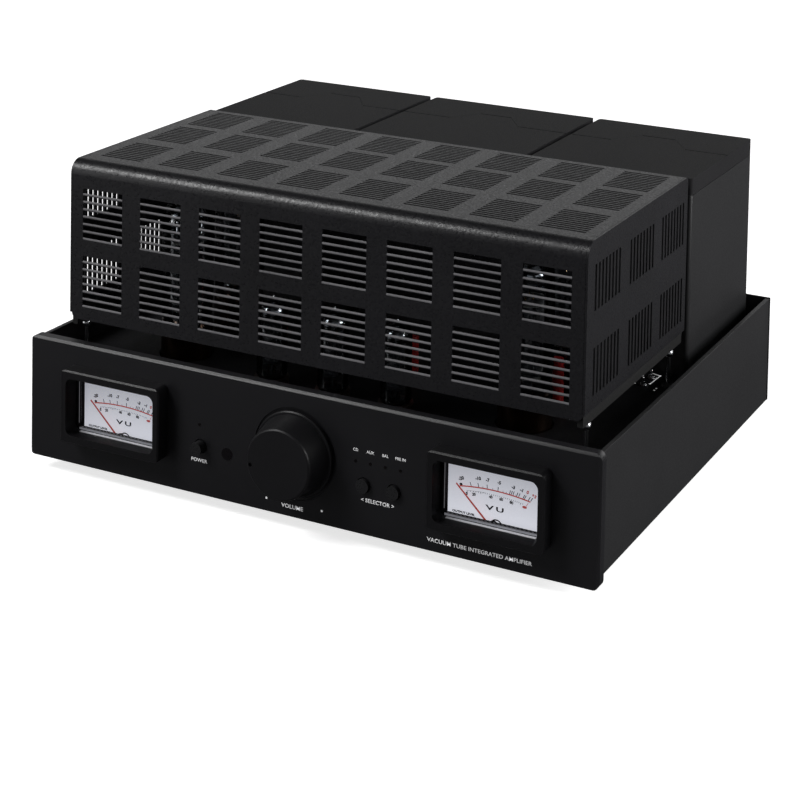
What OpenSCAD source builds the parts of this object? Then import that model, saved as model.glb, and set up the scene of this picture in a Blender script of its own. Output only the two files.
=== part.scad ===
// Integrated amplifier with a lift-off vented tube cage, three transformer cans
// and two needle meters. Millimetres, +Z up, the faceplate looks along -Y.
// The origin is the bottom centre of the overall box: the floor under the feet.

/* [Faceplate] */
// Width of the front plate
face_w = 430; // [380:1:480]
// Height of the front plate
face_h = 85.5; // [70:0.5:110]
// Thickness of the front plate
face_t = 8; // [4:0.5:12]
// Corner radius seen from the front
face_r = 5; // [1:0.5:8]
// Chamfer around the front edge
face_chamfer = 1.6; // [0.5:0.1:3]
// Chamfer along the front plate's bottom edge
foot_chamfer = 0.5; // [0.2:0.1:3]
// Gap between the floor and the front plate
floor_gap = 10; // [5:0.5:20]

/* [Chassis] */
// Half width over the side plates
side_x = 212.4; // [190:0.1:240]
// Thickness of the side plates
side_t = 3; // [1.5:0.5:5]
// Depth from the front plate's face to the back of the side plates
side_end = 346.5; // [300:0.5:400]
// Bottom edge of the side plates above the front plate's bottom edge
side_lift = 5; // [2:0.5:10]
// Top edge of the side plates above the front plate's bottom edge
side_top = 83.5; // [70:0.5:100]
// Top surface of the deck above the front plate's bottom edge
deck_level = 65; // [56:0.5:72]
// Thickness of the deck plate
deck_t = 2; // [1:0.5:4]
// Thickness of the rear panel
rear_t = 1.5; // [1:0.5:3]
// Radius of a foot
foot_r = 20; // [12:1:30]

/* [Meters] */
// Distance of each meter centre from the middle
meter_x = 141.25; // [120:0.25:160]
// Sideways offset of the pair of meters
meter_shift = 1.25; // [-3:0.25:3]
// Height of the meter centres above the front plate's bottom edge
meter_level = 45; // [35:0.5:55]
// Outer width of the meter frame
bezel_w = 81; // [70:0.5:95]
// Outer height of the meter frame
bezel_h = 51; // [40:0.5:60]
// How far the meter frame stands out of the front plate
bezel_out = 12; // [5:0.5:18]
// Width of the meter window
window_w = 72; // [60:0.5:80]
// Height of the meter window
window_h = 40; // [30:0.5:48]
// Needle length from its pivot
needle_len = 38.5; // [30:0.5:45]
// Needle angle at rest, anticlockwise from upright
needle_rest = 46.5; // [30:0.5:60]

/* [Volume knob] */
// Height of the knob centre above the front plate's bottom edge
knob_level = 43; // [35:0.5:50]
// Radius of the knob at its foot
knob_r = 27; // [20:0.5:32]
// Radius of the knob's front face
knob_face_r = 23.5; // [18:0.5:30]
// How far the knob stands out of the front plate
knob_out = 22; // [12:0.5:30]
// Pointer angle at rest, clockwise from upright
pointer_rest = -100; // [-148:1:148]

/* [Buttons and lamps] */
// Power button centre, from the middle
power_x = -73; // [-95:0.5:-50]
// Power button height above the front plate's bottom edge
power_level = 33.5; // [25:0.5:50]
// Receiver window centre, from the middle
window_x = -52; // [-65:0.5:-45]
// Selector button centres, from the middle
selector_x = [51.5, 73.5];
// Selector button height above the front plate's bottom edge
selector_level = 32.7; // [25:0.1:50]
// Input lamp centres, from the middle
lamp_x = [45.4, 56.2, 67.1, 78.0];
// Input lamp height above the front plate's bottom edge
lamp_level = 47.6; // [40:0.1:60]

/* [Cage] */
// Half width of the cage
cage_x = 195.5; // [150:0.5:205]
// Front of the cage behind the front plate's face
cage_front = 19; // [12:0.5:40]
// Back of the cage behind the front plate's face
cage_back = 201.5; // [150:0.5:220]
// Bottom edge of the cage above the front plate's bottom edge
cage_bottom = 95.5; // [85:0.5:110]
// Top of the cage above the front plate's bottom edge
cage_top = 208; // [150:0.5:240]
// Sheet thickness of the cage
cage_t = 1.5; // [1:0.1:3]
// Outer bend radius along the front top edge
cage_bend = 9.5; // [4:0.5:16]
// Distance between the columns of vents
vent_pitch = 48.1; // [40:0.1:60]
// Length of the front and top slots
slot_len = 33; // [20:0.5:40]
// Height of a front slot
slot_h = 3.8; // [2:0.1:4.5]
// Distance between front slots
slot_pitch = 5.27; // [4:0.01:8]
// Slots in each front patch
front_slots = 7; // [4:1:10]
// Slots in each top patch
top_slots = 11; // [6:1:14]
// Distance between top slots
top_pitch = 4.1; // [3:0.05:6]
// Width of a top slot
top_slot_w = 2.4; // [1.5:0.1:4]
// Slots in each side patch
side_slots = 8; // [5:1:12]
// Distance between side slots
side_pitch = 5.8; // [4:0.1:8]
// Width of a side slot
side_slot_w = 3; // [2:0.1:4]

/* [Transformer cans] */
// Width of the middle can
can_mid_w = 137.6; // [100:0.2:160]
// Width of each outer can
can_side_w = 123; // [90:0.2:140]
// Gap between two cans
can_gap = 4.7; // [2:0.1:10]
// Front of the cans behind the front plate's face
can_front = 207; // [200:0.5:230]
// Back of the cans behind the front plate's face
can_back = 341; // [300:0.5:346]
// Top of the cans above the front plate's bottom edge
can_top = 205.5; // [150:0.5:240]
// Height of the lid on each can
lid_h = 12.2; // [6:0.2:20]
// Wall thickness of the cans
can_t = 1.5; // [1:0.1:3]

/* [Tubes] */
// Power tube centres, from the middle
power_tube_x = 132; // [100:1:150]
// Power tube centres behind the front plate's face
power_tube_y = [72, 142];
// Top of the power tubes above the deck
power_tube_h = 112; // [100:1:130]
// Small tube centres, from the middle
small_tube_x = [-48, 0, 48];
// Small tube centres behind the front plate's face
small_tube_y = 50; // [40:1:90]
// Top of the small tubes above the deck
small_tube_h = 62; // [50:1:80]

/* [View] */
// Piece to draw

/* [Hidden] */
$fn = 48;
fz = floor_gap;
rear_out = 24;
yf = -(side_end + rear_t + rear_out - knob_out) / 2;
yb = yf + side_end;
deck_z = fz + deck_level;
side_in = side_x - side_t;
meter_z = fz + meter_level;
needle_z = meter_z - 26.4;
case_in = 34.4;
knob_z = fz + knob_level;
power_z = fz + power_level;
window_z = fz + 32.2;
selector_z = fz + selector_level;
lamp_z = fz + lamp_level;
power_lamp_x = power_x - 1;
function meter_at(s) = s * meter_x + meter_shift;
power_lamp_z = fz + 48.2;
cage_y0 = yf + cage_front;
cage_y1 = yf + cage_back;
cage_z0 = fz + cage_bottom;
cage_z1 = fz + cage_top;
wrap_x = cage_x - cage_t - 0.2;
columns = [for (i = [-3.5:1:3.5]) i * vent_pitch];
front_rows = [fz + 171.55, fz + 123.4];
top_rows = [yf + 61.5, yf + 119, yf + 171.5];
side_cols = [yf + 52.9, yf + 113.6, yf + 172.6];
side_rows = [[fz + 162.2, fz + 191.8], [fz + 108, fz + 138.7]];
pin_x = 191.2;
pin_ys = [yf + 33, yf + 183];
pin_spots = [for (sx = [-1, 1], py = pin_ys) [sx * pin_x, py]];
can_y0 = yf + can_front;
can_y1 = yf + can_back;
can_yc = (can_y0 + can_y1) / 2;
can_d = can_y1 - can_y0;
can_z1 = fz + can_top;
lid_z = can_z1 - lid_h;
can_side_x = can_mid_w / 2 + can_gap + can_side_w / 2;
can_list = [[-can_side_x, can_side_w], [0, can_mid_w], [can_side_x, can_side_w]];
power_spots = [for (sx = [-1, 1], py = power_tube_y) [sx * power_tube_x, yf + py]];
small_spots = [for (sx = small_tube_x) [sx, yf + small_tube_y]];
cap_spots = [for (sx = [-1, 1], p = [[36, 97], [140, 107]]) [sx * p[0], yf + p[1]]];
toggle_x = 176;
toggle_ys = [yf + 176, yf + 192];
foot_spots = [for (sx = [-1, 1], py = [62, 300]) [sx * 165, yf + py]];
jack_x = [-60, -38, -16, 6, 28];
jack_z = [fz + 28, fz + 52];
post_x = [-150, -122, -94, 94, 122, 150];
post_z = fz + 40;
inlet_x = -190;
rear_y = yb + rear_t;
board_z = fz + 22;
screw_z = [fz + 12, fz + 55];

// Pieces of the model, in drawing order

faceplate();
front_subpanel();
deck_plate();
side_plate_left();
side_plate_right();
rear_panel();
bottom_cover();
corner_brackets();
feet();
foot_pads();
meter_bezel_left();
meter_bezel_right();
meter_cases();
meter_dial_left();
meter_dial_right();
meter_glass_left();
meter_glass_right();
meter_needle_left();
meter_needle_right();
volume_knob();
volume_shaft();
volume_pot();
power_button();
power_switch();
panel_lamps();
receiver_window();
selector_button_left();
selector_button_right();
button_board();
can_left();
can_centre();
can_right();
can_lids();
transformer_cores();
transformer_windings();
can_screws();
cage_wrap();
cage_side_left();
cage_side_right();
cage_rails();
cage_pins();
cage_sockets();
power_tube_bases();
power_tube_glass();
power_tube_plates();
small_tube_glass();
small_tube_plates();
tube_sockets();
toggle_bodies();
toggle_lever_front();
toggle_lever_rear();
main_board();
board_standoffs();
board_capacitors();
coupling_capacitors();
input_jacks();
speaker_posts();
speaker_caps();
mains_inlet();
rear_screws();

// Rounded rectangle centred on the origin
module rrect(w, h, r) {
    square([w - 2 * r, h], center = true);
    square([w, h - 2 * r], center = true);
    for (sx = [-1, 1], sy = [-1, 1])
        translate([sx * (w / 2 - r), sy * (h / 2 - r)])
            circle(r);
}

// Extrudes an (x, z) drawing from y0 to y1
module along_y(y0, y1) {
    translate([0, y1, 0])
        rotate([90, 0, 0])
            linear_extrude(y1 - y0)
                children();
}

// Extrudes a (y, z) drawing from x0 to x1
module along_x(x0, x1) {
    translate([x0, 0, 0])
        rotate([90, 0, 90])
            linear_extrude(x1 - x0)
                children();
}

// Extrudes an (x, y) drawing from z0 to z1
module along_z(z0, z1) {
    translate([0, 0, z0])
        linear_extrude(z1 - z0)
            children();
}

// Box from one corner to the other
module block(a, b) {
    translate(a)
        cube([b[0] - a[0], b[1] - a[1], b[2] - a[2]]);
}

// Round bar along Y from y0 to y1
module bar_y(x, z, r, y0, y1) {
    translate([x, y1, z])
        rotate([90, 0, 0])
            cylinder(h = y1 - y0, r = r);
}

// Round bar along Z from z0 to z1
module bar_z(x, y, r, z0, z1) {
    translate([x, y, z0])
        cylinder(h = z1 - z0, r = r);
}

// Front plate with its openings
module faceplate() {
    color([0.045, 0.045, 0.05])
        difference() {
            intersection() {
                along_y(yf, yf + face_t)
                    translate([0, fz + face_h / 2])
                        rrect(face_w, face_h, face_r);
                along_x(-face_w / 2, face_w / 2)
                    polygon([[yf + face_t, fz], [yf + foot_chamfer, fz], [yf, fz + foot_chamfer],
                        [yf, fz + face_h - face_chamfer], [yf + face_chamfer, fz + face_h],
                        [yf + face_t, fz + face_h]]);
                along_z(fz, fz + face_h)
                    polygon([[-face_w / 2, yf + face_t], [-face_w / 2, yf + face_chamfer],
                        [face_chamfer - face_w / 2, yf], [face_w / 2 - face_chamfer, yf],
                        [face_w / 2, yf + face_chamfer], [face_w / 2, yf + face_t]]);
            }
            for (sx = [-1, 1])
                block([meter_at(sx) - 37, yf - 1, meter_z - 25], [meter_at(sx) + 37, yf + face_t + 1, meter_z + 21]);
            bar_y(0, knob_z, 31, yf - 1, yf + 1.2);
            bar_y(0, knob_z, 6, yf - 1, yf + face_t + 1);
            bar_y(power_x, power_z, 5, yf - 1, yf + face_t + 1);
            bar_y(power_lamp_x, power_lamp_z, 1.05, yf - 1, yf + face_t + 1);
            bar_y(window_x, window_z, 4.3, yf - 1, yf + face_t + 1);
            for (sx = selector_x)
                bar_y(sx, selector_z, 5.15, yf - 1, yf + face_t + 1);
            for (lx = lamp_x)
                bar_y(lx, lamp_z, 1.05, yf - 1, yf + face_t + 1);
        }
}

// Inner front sheet that carries the controls
module front_subpanel() {
    color([0.25, 0.25, 0.26])
        along_y(yf + face_t, yf + face_t + 2)
            difference() {
                translate([0, fz + 42.25])
                    square([2 * side_in, 71.5], center = true);
                for (sx = [-1, 1])
                    translate([meter_at(sx), meter_z - 4.5])
                        square([80.4, 53.4], center = true);
                translate([0, knob_z])
                    circle(4.6);
                translate([power_x, power_z])
                    circle(5);
                translate([power_lamp_x, power_lamp_z])
                    circle(1.05);
                translate([window_x, window_z])
                    circle(4.3);
                for (sx = selector_x)
                    translate([sx, selector_z])
                        circle(5.15);
                for (lx = lamp_x)
                    translate([lx, lamp_z])
                        circle(1.05);
            }
}

// Top deck, drilled for the tubes, the cage pins and the switches
module deck_plate() {
    color([0.05, 0.05, 0.055])
        along_z(deck_z - deck_t, deck_z)
            difference() {
                translate([-side_in, yf + face_t + 2])
                    square([2 * side_in, side_end - face_t - 2]);
                for (sx = [-1, 1])
                    translate([meter_at(sx), yf + face_t + 3])
                        square([80.8, 4], center = true);
                for (p = power_spots)
                    translate(p)
                        circle(19.4);
                for (p = small_spots)
                    translate(p)
                        circle(9);
                for (p = pin_spots)
                    translate(p)
                        circle(3);
                for (ty = toggle_ys)
                    translate([toggle_x, ty])
                        circle(2.4);
                for (c = can_list, sx = [-1, 1], sy = [-1, 1])
                    translate([c[0] + sx * (c[1] / 2 - 8), can_yc + sy * (can_d / 2 - 8)])
                        circle(2);
            }
}

// One side plate of the chassis
module side_plate(s) {
    color([0.06, 0.06, 0.065])
        translate([s * (side_x - side_t / 2), 0, 0])
            along_x(-side_t / 2, side_t / 2)
                translate([yf + face_t, fz + side_lift])
                    square([side_end - face_t, side_top - side_lift]);
}

module side_plate_left() {
    side_plate(-1);
}

module side_plate_right() {
    side_plate(1);
}

// Rear panel with its cut-outs
module rear_panel() {
    color([0.05, 0.05, 0.055])
        along_y(yb, rear_y)
            difference() {
                translate([0, fz + side_lift + (side_top + 0.5 - side_lift) / 2])
                    square([2 * side_x + 1, side_top + 0.5 - side_lift], center = true);
                for (jx = jack_x, jz = jack_z)
                    translate([jx, jz])
                        circle(5.2);
                for (px = post_x)
                    translate([px, post_z])
                        circle(3.5);
                translate([inlet_x, fz + 36])
                    square([24.4, 20.4], center = true);
                for (sx = [-1, 1], sz = screw_z)
                    translate([sx * 202, sz])
                        circle(1.6);
            }
}

// Bottom cover with breathing slots
module bottom_cover() {
    color([0.1, 0.1, 0.1])
        along_z(fz + side_lift, fz + side_lift + 1.5)
            difference() {
                translate([-side_in, yf + face_t])
                    square([2 * side_in, side_end - face_t]);
                for (sx = [-1, 1], i = [0:11])
                    translate([sx * 80, yf + 110 + i * 12])
                        square([70, 4], center = true);
            }
}

// Angle brackets that join the sides, the deck and the rear panel
module corner_brackets() {
    color([0.6, 0.6, 0.6])
        for (sx = [-1, 1], sz = screw_z)
            difference() {
                translate([sx * (side_in - 6), yb - 5, sz])
                    cube([12, 10, 8], center = true);
                bar_y(sx * 202, sz, 1.6, yb - 12, yb + 2);
            }
    color([0.6, 0.6, 0.6])
        for (sx = [-1, 1], py = [yf + 62, yb - 20])
            translate([sx * side_in, py, 0])
                union() {
                    block([sx > 0 ? -2 : 0, -8, deck_z - 22], [sx > 0 ? 0 : 2, 8, deck_z - deck_t]);
                    block([sx > 0 ? -16 : 0, -8, deck_z - deck_t - 2], [sx > 0 ? 0 : 16, 8, deck_z - deck_t]);
                }
}

// Four round feet
module feet() {
    color([0.04, 0.04, 0.04])
        for (p = foot_spots)
            translate([p[0], p[1], 0])
                rotate_extrude()
                    polygon([[0, 3], [15, 3], [15, 1], [foot_r - 1.5, 1], [foot_r, 2.5],
                        [foot_r, 13], [foot_r - 1.5, fz + side_lift], [0, fz + side_lift]]);
}

// Soft pads under the feet
module foot_pads() {
    color([0.08, 0.08, 0.08])
        for (p = foot_spots)
            bar_z(p[0], p[1], 15, 0, 3);
}

// Frame around one meter window
module meter_bezel(s) {
    color([0.04, 0.04, 0.045])
        translate([meter_at(s), 0, 0])
            difference() {
                intersection() {
                    along_y(yf - bezel_out, yf)
                        translate([0, meter_z])
                            rrect(bezel_w, bezel_h, 4);
                    along_x(-bezel_w / 2, bezel_w / 2)
                        polygon([[yf, meter_z - bezel_h / 2], [yf - bezel_out + 1, meter_z - bezel_h / 2],
                            [yf - bezel_out, meter_z - bezel_h / 2 + 1], [yf - bezel_out, meter_z + bezel_h / 2 - 1],
                            [yf - bezel_out + 1, meter_z + bezel_h / 2], [yf, meter_z + bezel_h / 2]]);
                    along_z(meter_z - bezel_h / 2, meter_z + bezel_h / 2)
                        polygon([[-bezel_w / 2, yf], [-bezel_w / 2, yf - bezel_out + 1],
                            [1 - bezel_w / 2, yf - bezel_out], [bezel_w / 2 - 1, yf - bezel_out],
                            [bezel_w / 2, yf - bezel_out + 1], [bezel_w / 2, yf]]);
                }
                along_y(yf - bezel_out - 1, yf + 1)
                    translate([0, meter_z])
                        rrect(window_w, window_h, 5);
            }
}

module meter_bezel_left() {
    meter_bezel(-1);
}

module meter_bezel_right() {
    meter_bezel(1);
}

// Housings behind the meter windows, with the round boss over the pivot
module meter_cases() {
    color([0.03, 0.03, 0.03])
        for (sx = [-1, 1])
            translate([meter_at(sx), 0, 0])
                union() {
                    difference() {
                        union() {
                            block([-37, yf + 1.4, meter_z - 25], [37, yf + 9, meter_z + 21]);
                            block([-40, yf + 8, meter_z - 31], [40, yf + 12.5, meter_z + 22]);
                            block([-40, yf + 8, meter_z - 31], [40, yf + 32, deck_z - deck_t - 2]);
                        }
                        block([-case_in, yf, meter_z - 24], [case_in, yf + 9, meter_z + 20]);
                        block([-38.5, yf + 8.2, meter_z - 29.5], [38.5, yf + 11.2, meter_z + 20.5]);
                        block([-38.5, yf + 8.2, meter_z - 29.5], [38.5, yf + 30.5, deck_z - deck_t - 3.5]);
                    }
                    difference() {
                        block([-9, yf + 12, meter_z - 29.5], [9, yf + 30.5, meter_z - 15]);
                        bar_y(0, needle_z, 0.96, yf + 11, yf + 17);
                    }
                    block([-case_in, yf + 3.4, meter_z - 24], [case_in, yf + 4.6, meter_z - 18.4]);
                    along_y(yf + 2.6, yf + 3.4)
                        translate([0, meter_z - 20.4])
                            intersection() {
                                circle(3.4);
                                translate([-6, -2.4])
                                    square([12, 8]);
                            }
                }
}

// Printed scale plate of one meter
module meter_dial(s) {
    color([0.82, 0.84, 0.86])
        translate([meter_at(s), 0, 0])
            difference() {
                block([-38.5, yf + 10, meter_z - 29.5], [38.5, yf + 11, meter_z + 20.5]);
                bar_y(0, needle_z, 1.8, yf + 9, yf + 12);
            }
}

module meter_dial_left() {
    meter_dial(-1);
}

module meter_dial_right() {
    meter_dial(1);
}

// Window pane of one meter
module meter_glass(s) {
    color([0.9, 0.95, 1, 0.3])
        translate([meter_at(s), 0, 0])
            block([-37, yf + 0.2, meter_z - 21], [37, yf + 1.4, meter_z + 21]);
}

module meter_glass_left() {
    meter_glass(-1);
}

module meter_glass_right() {
    meter_glass(1);
}

// Needle of one meter, cranked back to its pivot behind the front plate
module meter_needle(s) {
    color([0.75, 0.06, 0.05])
        translate([meter_at(s), 0, needle_z])
            rotate([0, -needle_rest, 0])
                union() {
                    along_y(yf + 6.2, yf + 6.7)
                        polygon([[-0.55, 4.6], [0.55, 4.6], [0.38, needle_len], [-0.38, needle_len]]);
                    block([-0.5, yf + 6.2, 4.6], [0.5, yf + 9.2, 6.4]);
                    block([-0.5, yf + 8.5, -1], [0.5, yf + 9.2, 6.4]);
                    bar_y(0, 0, 0.9, yf + 8.5, yf + 16);
                }
}

module meter_needle_left() {
    meter_needle(-1);
}

module meter_needle_right() {
    meter_needle(1);
}

// Volume knob with a skirt and a pointer dimple
module volume_knob() {
    color([0.05, 0.05, 0.055])
        translate([0, yf, knob_z])
            rotate([90, 0, 0])
                difference() {
                    rotate_extrude($fn = 96)
                        polygon([[0, 0.4], [29, 0.4], [29, 2.4], [28.3, 3.1], [knob_r, 3.1],
                            [knob_face_r + 0.4, knob_out - 1.6], [knob_face_r - 0.1, knob_out - 0.6],
                            [knob_face_r - 1, knob_out], [0, knob_out]]);
                    translate([0, 0, -1])
                        cylinder(h = 15, r = 3);
                    translate([20.7 * sin(pointer_rest), 20.7 * cos(pointer_rest), knob_out - 1.4])
                        cylinder(h = 3, r = 1.5);
                }
}

// Shaft from the control to the knob
module volume_shaft() {
    color([0.7, 0.7, 0.7])
        bar_y(0, knob_z, 3, yf - 14, yf + 24);
}

// Rotary control behind the front
module volume_pot() {
    color([0.35, 0.36, 0.38])
        difference() {
            union() {
                bar_y(0, knob_z, 13, yf + 12, yf + 34);
                bar_y(0, knob_z, 4.5, yf + 2.5, yf + 12);
                bar_y(0, knob_z, 7, yf + 10, yf + 12);
            }
            bar_y(0, knob_z, 3.06, yf, yf + 26);
        }
}

// Push button with its stem
module push_button(x, z, r, out, stem) {
    bar_y(x, z, r, yf - out, yf + 6);
    bar_y(x, z, stem, yf + 5, yf + 18);
}

// Power button
module power_button() {
    color([0.06, 0.06, 0.065])
        union() {
            push_button(power_x, power_z, 4.25, 6.5, 2);
        }
}

// Mains switch behind the power button
module power_switch() {
    color([0.12, 0.12, 0.13])
        difference() {
            union() {
                block([power_x - 8, yf + 12, power_z - 8], [power_x + 8, yf + 40, power_z + 8]);
                block([power_x - 14, yf + 10, power_z - 9], [power_x - 8, yf + 14, power_z + 9]);
            }
            bar_y(power_x, power_z, 2.06, yf + 9, yf + 22);
        }
}

// Lamps for power and for the chosen input
module panel_lamps() {
    color([0.75, 0.2, 0.15])
        union() {
            bar_y(power_lamp_x, power_lamp_z, 1, yf - 0.3, yf + 13);
            for (lx = lamp_x)
                bar_y(lx, lamp_z, 1, yf - 0.3, yf + 13);
        }
}

// Dark receiver window
module receiver_window() {
    color([0.08, 0.02, 0.03])
        bar_y(window_x, window_z, 4.25, yf - 0.2, yf + 13);
}

module selector_button(i) {
    color([0.06, 0.06, 0.065])
        union() {
            push_button(selector_x[i], selector_z, 4.5, 2.5, 1.6);
        }
}

module selector_button_left() {
    selector_button(0);
}

module selector_button_right() {
    selector_button(1);
}

// Board that carries the selector switches and the lamps
module button_board() {
    color([0.05, 0.3, 0.12])
        difference() {
            union() {
                block([36, yf + 13, fz + 20], [88, yf + 14.6, fz + 56]);
                for (sx = selector_x)
                    block([sx - 4, yf + 14.6, selector_z - 4], [sx + 4, yf + 22, selector_z + 4]);
                for (sx = [38, 86])
                    bar_y(sx, fz + 24, 2, yf + 10, yf + 13);
                block([power_lamp_x - 3, yf + 13, power_lamp_z - 5], [power_lamp_x + 3, yf + 14.6, power_lamp_z + 3]);
                block([window_x - 6, yf + 13, window_z - 6], [window_x + 6, yf + 14.6, window_z + 6]);
            }
            for (sx = selector_x)
                bar_y(sx, selector_z, 1.66, yf + 12, yf + 21);
        }
}

// One transformer can with corner blocks for its screws
module can(i) {
    w = can_list[i][1];
    color([0.06, 0.06, 0.065])
        translate([can_list[i][0], can_yc, 0])
            difference() {
                union() {
                    along_z(deck_z, lid_z)
                        difference() {
                            rrect(w, can_d, 2.5);
                            rrect(w - 2 * can_t, can_d - 2 * can_t, 1);
                        }
                    for (sx = [-1, 1], sy = [-1, 1])
                        translate([sx * (w / 2 - 8), sy * (can_d / 2 - 8), deck_z + 3])
                            cube([13.6, 13.6, 6], center = true);
                }
                for (sx = [-1, 1], sy = [-1, 1])
                    bar_z(sx * (w / 2 - 8), sy * (can_d / 2 - 8), 1.6, deck_z - 1, deck_z + 7);
            }
}

module can_left() {
    can(0);
}

module can_centre() {
    can(1);
}

module can_right() {
    can(2);
}

// Zigzag groove across a lid, drawn in plan about the can's centre
module groove(w) {
    a = 9;
    b = 33;
    d = 0.7;
    polygon([[-w / 2, a - d], [-29 - d * 0.6, a - d], [-13 - d * 0.6, b - d], [13 + d * 0.6, b - d],
        [29 + d * 0.6, a - d], [w / 2, a - d], [w / 2, a + d], [29 - d * 0.2, a + d],
        [13 - d * 0.2, b + d], [-13 + d * 0.2, b + d], [-29 + d * 0.2, a + d], [-w / 2, a + d]]);
}

// Lids of the three cans
module can_lids() {
    color([0.045, 0.045, 0.05])
        for (c = can_list)
            translate([c[0], can_yc, 0])
                difference() {
                    union() {
                        along_z(lid_z + 0.4, can_z1)
                            rrect(c[1], can_d, 2.5);
                        along_z(lid_z, lid_z + 0.4)
                            rrect(c[1] - 1.2, can_d - 1.2, 2);
                        along_z(lid_z - 6, lid_z)
                            rrect(c[1] - 2 * can_t - 0.4, can_d - 2 * can_t - 0.4, 1);
                    }
                    along_z(lid_z - 7, can_z1 - 3)
                        rrect(c[1] - 8, can_d - 8, 1);
                    along_z(can_z1 - 0.6, can_z1 + 1)
                        groove(c[1] + 2);
                }
}

// Laminated cores standing in the cans
module transformer_cores() {
    color([0.3, 0.3, 0.32])
        for (c = can_list)
            translate([c[0], 0, deck_z])
                along_y(can_yc - 28, can_yc + 28)
                    difference() {
                        translate([-50, 0])
                            square([100, 90]);
                        for (sx = [-1, 1])
                            translate([sx * 26, 45])
                                square([18, 54], center = true);
                    }
}

// Windings around the middle legs
module transformer_windings() {
    color([0.55, 0.3, 0.12])
        for (c = can_list)
            translate([c[0], can_yc, deck_z])
                difference() {
                    block([-34, -44, 19], [34, 44, 71]);
                    block([-17.5, -28.5, 10], [17.5, 28.5, 80]);
                }
}

// Screws that hold the cans from under the deck
module can_screws() {
    color([0.7, 0.7, 0.72])
        for (c = can_list, sx = [-1, 1], sy = [-1, 1])
            translate([c[0] + sx * (c[1] / 2 - 8), can_yc + sy * (can_d / 2 - 8), 0])
                union() {
                    bar_z(0, 0, 1.55, deck_z - deck_t - 1, deck_z + 6);
                    bar_z(0, 0, 3.2, deck_z - deck_t - 2.5, deck_z - deck_t);
                }
}

// Quarter ring in the (y, z) plane with its centre at p
module bend(p, r, qy) {
    translate(p)
        intersection() {
            difference() {
                circle(r, $fn = 64);
                circle(r - cage_t, $fn = 64);
            }
            translate([qy < 0 ? -r : 0, 0])
                square([r, r]);
        }
}

// Front, top and back of the cage, folded from one vented sheet
module cage_wrap() {
    color([0.06, 0.06, 0.065])
        union() {
            along_y(cage_y0, cage_y0 + cage_t)
                difference() {
                    union() {
                        translate([-wrap_x, cage_z0 + 4])
                            square([2 * wrap_x, cage_z1 - cage_bend - cage_z0 - 4]);
                        translate([4 - wrap_x, cage_z0])
                            square([2 * wrap_x - 8, 8]);
                        for (sx = [-1, 1])
                            translate([sx * (wrap_x - 4), cage_z0 + 4])
                                circle(4);
                    }
                    for (cx = columns, rz = front_rows, i = [0:front_slots - 1])
                        translate([cx, rz + (i - (front_slots - 1) / 2) * slot_pitch])
                            square([slot_len, slot_h], center = true);
                }
            along_x(-wrap_x, wrap_x)
                bend([cage_y0 + cage_bend, cage_z1 - cage_bend], cage_bend, -1);
            along_z(cage_z1 - cage_t, cage_z1)
                difference() {
                    translate([-wrap_x, cage_y0 + cage_bend])
                        square([2 * wrap_x, cage_y1 - 3 - cage_y0 - cage_bend]);
                    for (cx = columns, ry = top_rows, i = [0:top_slots - 1])
                        translate([cx, ry + (i - (top_slots - 1) / 2) * top_pitch])
                            square([slot_len, top_slot_w], center = true);
                }
            along_x(-wrap_x, wrap_x)
                bend([cage_y1 - 3, cage_z1 - 3], 3, 1);
            along_y(cage_y1 - cage_t, cage_y1)
                translate([-wrap_x, cage_z0])
                    square([2 * wrap_x, cage_z1 - 3 - cage_z0]);
        }
}

// One flat side of the cage
module cage_side(s) {
    color([0.075, 0.075, 0.08])
        translate([s * (cage_x - cage_t / 2), 0, 0])
            along_x(-cage_t / 2, cage_t / 2)
                difference() {
                    union() {
                        translate([cage_y0 + cage_bend, cage_z0 + 4])
                            square([cage_y1 - cage_y0 - cage_bend - 3, cage_z1 - cage_z0 - 4]);
                        translate([cage_y0, cage_z0 + 4])
                            square([cage_y1 - cage_y0, cage_z1 - cage_bend - cage_z0 - 4]);
                        translate([cage_y0 + cage_bend, cage_z1 - cage_bend])
                            circle(cage_bend, $fn = 64);
                        translate([cage_y1 - 3, cage_z1 - 3])
                            circle(3);
                        translate([cage_y1 - 6, cage_z1 - 12])
                            square([6, 9]);
                    }
                    for (cy = side_cols, rz = side_rows, i = [0:side_slots - 1])
                        translate([cy + (i - (side_slots - 1) / 2) * side_pitch, (rz[0] + rz[1]) / 2])
                            square([side_slot_w, rz[1] - rz[0]], center = true);
                }
}

module cage_side_left() {
    cage_side(-1);
}

module cage_side_right() {
    cage_side(1);
}

// Rails along the bottom of the cage sides
module cage_rails() {
    color([0.03, 0.03, 0.03])
        for (sx = [-1, 1])
            translate([sx * (cage_x - cage_t - 2), 0, 0])
                along_x(-2, 2)
                    translate([cage_y0 + cage_t, cage_z0 - 4.5])
                        square([cage_y1 - cage_y0 - 2 * cage_t, 12]);
}

// Pins that locate the cage, each with a round nut
module cage_pins() {
    color([0.75, 0.76, 0.78])
        for (p = pin_spots)
            translate([p[0], p[1], 0])
                union() {
                    bar_z(0, 0, 1.5, deck_z - 4, cage_z0 - 4.5);
                    translate([0, 0, cage_z0 - 7.2])
                        intersection() {
                            sphere(3.2);
                            bar_z(0, 0, 4, -3, 2.7);
                        }
                }
}

// Soft sockets in the deck for the cage pins
module cage_sockets() {
    color([0.05, 0.05, 0.05])
        for (p = pin_spots)
            translate([p[0], p[1], 0])
                difference() {
                    union() {
                        bar_z(0, 0, 3, deck_z - deck_t - 1.5, deck_z);
                        bar_z(0, 0, 4.4, deck_z, deck_z + 1.2);
                    }
                    bar_z(0, 0, 1.56, deck_z - 8, deck_z + 3);
                }
}

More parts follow.
